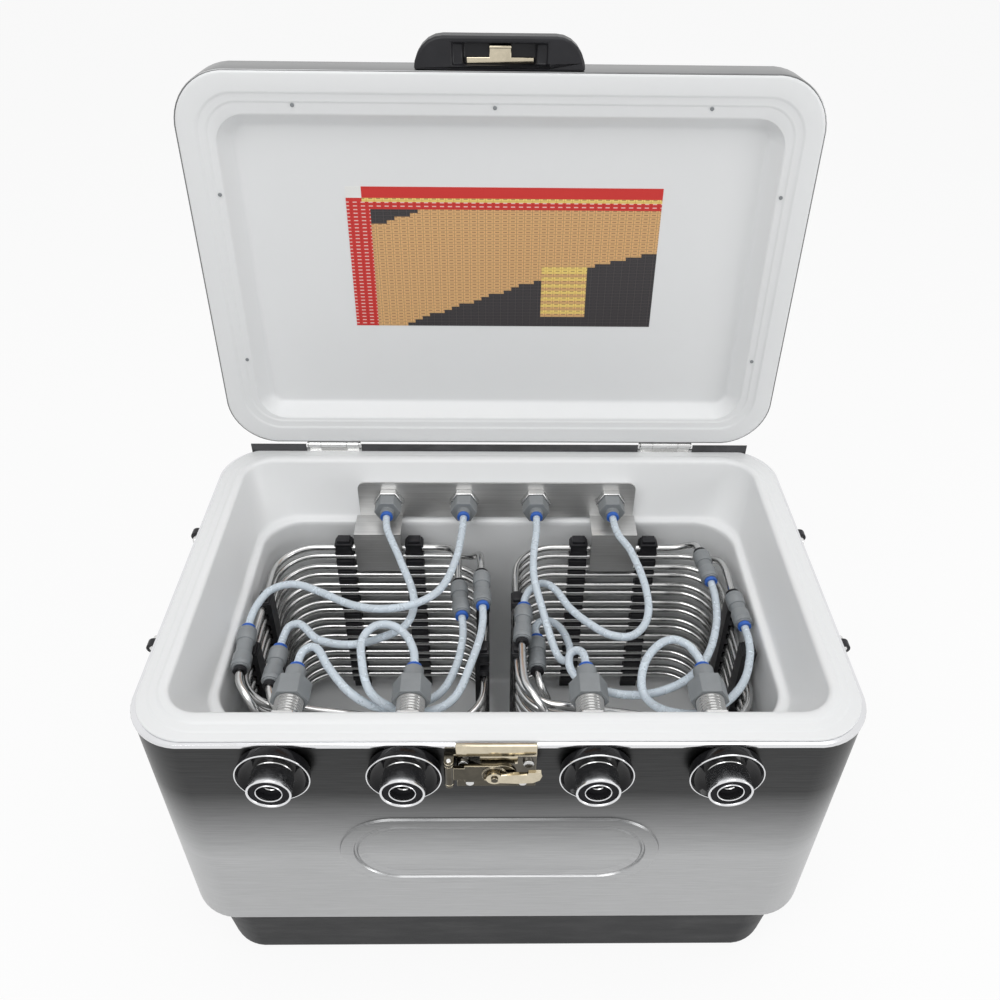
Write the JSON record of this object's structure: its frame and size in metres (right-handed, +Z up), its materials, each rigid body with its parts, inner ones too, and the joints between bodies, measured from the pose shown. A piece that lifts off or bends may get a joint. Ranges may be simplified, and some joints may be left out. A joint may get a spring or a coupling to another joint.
{
  "type": "jockey box beer cooler",
  "caption": "Steel-clad ice chest with an open lid, tap shanks along the front, inlets at the back and coiled cooling tubes with hoses inside.",
  "frame": {"origin": "centre of the base's underside, on the floor", "axes": "+X to the right seen from the front, +Y to the back, +Z up; the taps' side faces -Y"},
  "size_m": [0.675, 0.4949, 0.8382],
  "materials": {
    "charcoal_plastic": "satin",
    "steel_skin": "satin",
    "bright_trim": "gloss",
    "white_plastic": "satin",
    "foam": "matte",
    "black_plastic": "satin",
    "steel_parts": "satin",
    "warm_nickel": "satin",
    "black_gloss": "gloss",
    "chrome_metal": "gloss",
    "grey_plastic": "satin",
    "rubber_seal": "matte",
    "steel_tube": "satin",
    "blue_plastic": "satin",
    "chart_print": "satin",
    "clear_hose": "gloss"
  },
  "bodies": {
    "cooler": {"base_pan": "charcoal_plastic", "steel_shell": "steel_skin", "rim_trim": "bright_trim", "inner_tub": "white_plastic", "body_foam": "foam", "drain_spout": "black_plastic", "drain_nut": "black_plastic", "hinge_rail": "steel_skin", "hinge_body_leaves": "steel_parts", "hinge_pins": "steel_parts", "latch_base": "warm_nickel", "latch_pin": "steel_parts", "handle_brackets": "black_plastic", "body_screws": "steel_parts", "outlet_flanges": "black_gloss", "outlet_shanks": "chrome_metal", "shank_nuts": "steel_parts", "shank_fittings": "grey_plastic", "inlet_bulkheads": "black_plastic", "inlet_seals": "rubber_seal", "inlet_nuts": "steel_parts", "inlet_fittings": "grey_plastic", "coil_bracket": "steel_parts", "coil_left_outer": "steel_tube", "coil_left_inner": "steel_tube", "coil_right_outer": "steel_tube", "coil_right_inner": "steel_tube", "coil_clips_left": "black_plastic", "coil_clips_right": "black_plastic", "left_coil_unions": "grey_plastic", "right_coil_unions": "grey_plastic", "steel_side_collets": "black_plastic", "release_collets": "blue_plastic", "inlet_hose_1": "clear_hose", "outlet_hose_1": "clear_hose", "inlet_hose_2": "clear_hose", "outlet_hose_2": "clear_hose", "inlet_hose_3": "clear_hose", "outlet_hose_3": "clear_hose", "inlet_hose_4": "clear_hose", "outlet_hose_4": "clear_hose"},
    "lid": {"lid_cap": "steel_skin", "lid_liner": "white_plastic", "lid_foam": "foam", "lid_handle": "black_plastic", "lid_strike": "warm_nickel", "chart_label": "chart_print", "hinge_lid_leaves": "steel_parts"},
    "hasp": {"latch_hasp": "warm_nickel"},
    "lever": {"latch_lever": "warm_nickel"},
    "left_handle": {"left_bail": "steel_parts", "left_grip": "black_plastic"},
    "right_handle": {"right_bail": "steel_parts", "right_grip": "black_plastic"},
    "drain_plug": {"drain_cap": "black_plastic"},
    "coupling_1": {"coupling_nut_1": "chrome_metal"},
    "coupling_2": {"coupling_nut_2": "chrome_metal"},
    "coupling_3": {"coupling_nut_3": "chrome_metal"},
    "coupling_4": {"coupling_nut_4": "chrome_metal"}
  },
  "joints": [
    {"name": "lid_hinge", "type": "hinge", "parent": "cooler", "child": "lid", "pos_m": [0, 0.2005, 0.3998], "axis": [1, 0, 0], "range_deg": [0, 93]},
    {"name": "hasp_hinge", "type": "hinge", "parent": "cooler", "child": "hasp", "pos_m": [-0.043, -0.214, 0.3635], "axis": [0, 0, -1], "range_deg": [0, 100]},
    {"name": "lever_pivot", "type": "hinge", "parent": "hasp", "child": "lever", "pos_m": [-0.005, -0.218, 0.3635], "axis": [0, 1, 0], "range_deg": [0, 90]},
    {"name": "left_handle_pivot", "type": "hinge", "parent": "cooler", "child": "left_handle", "pos_m": [-0.325, -0.005, 0.372], "axis": [0, 1, 0], "range_deg": [0, 90]},
    {"name": "right_handle_pivot", "type": "hinge", "parent": "cooler", "child": "right_handle", "pos_m": [0.325, -0.005, 0.372], "axis": [0, -1, 0], "range_deg": [0, 90]},
    {"name": "drain_cap_turn", "type": "hinge", "parent": "cooler", "child": "drain_plug", "pos_m": [0.325, 0, 0.0715], "axis": [1, 0, 0], "continuous": true},
    {"name": "coupling_turn_1", "type": "hinge", "parent": "cooler", "child": "coupling_1", "pos_m": [-0.19, -0.222, 0.36], "axis": [0, -1, 0], "continuous": true},
    {"name": "coupling_turn_2", "type": "hinge", "parent": "cooler", "child": "coupling_2", "pos_m": [-0.0807, -0.222, 0.36], "axis": [0, -1, 0], "continuous": true},
    {"name": "coupling_turn_3", "type": "hinge", "parent": "cooler", "child": "coupling_3", "pos_m": [0.0807, -0.222, 0.36], "axis": [0, -1, 0], "continuous": true},
    {"name": "coupling_turn_4", "type": "hinge", "parent": "cooler", "child": "coupling_4", "pos_m": [0.19, -0.222, 0.36], "axis": [0, -1, 0], "continuous": true}
  ]
}
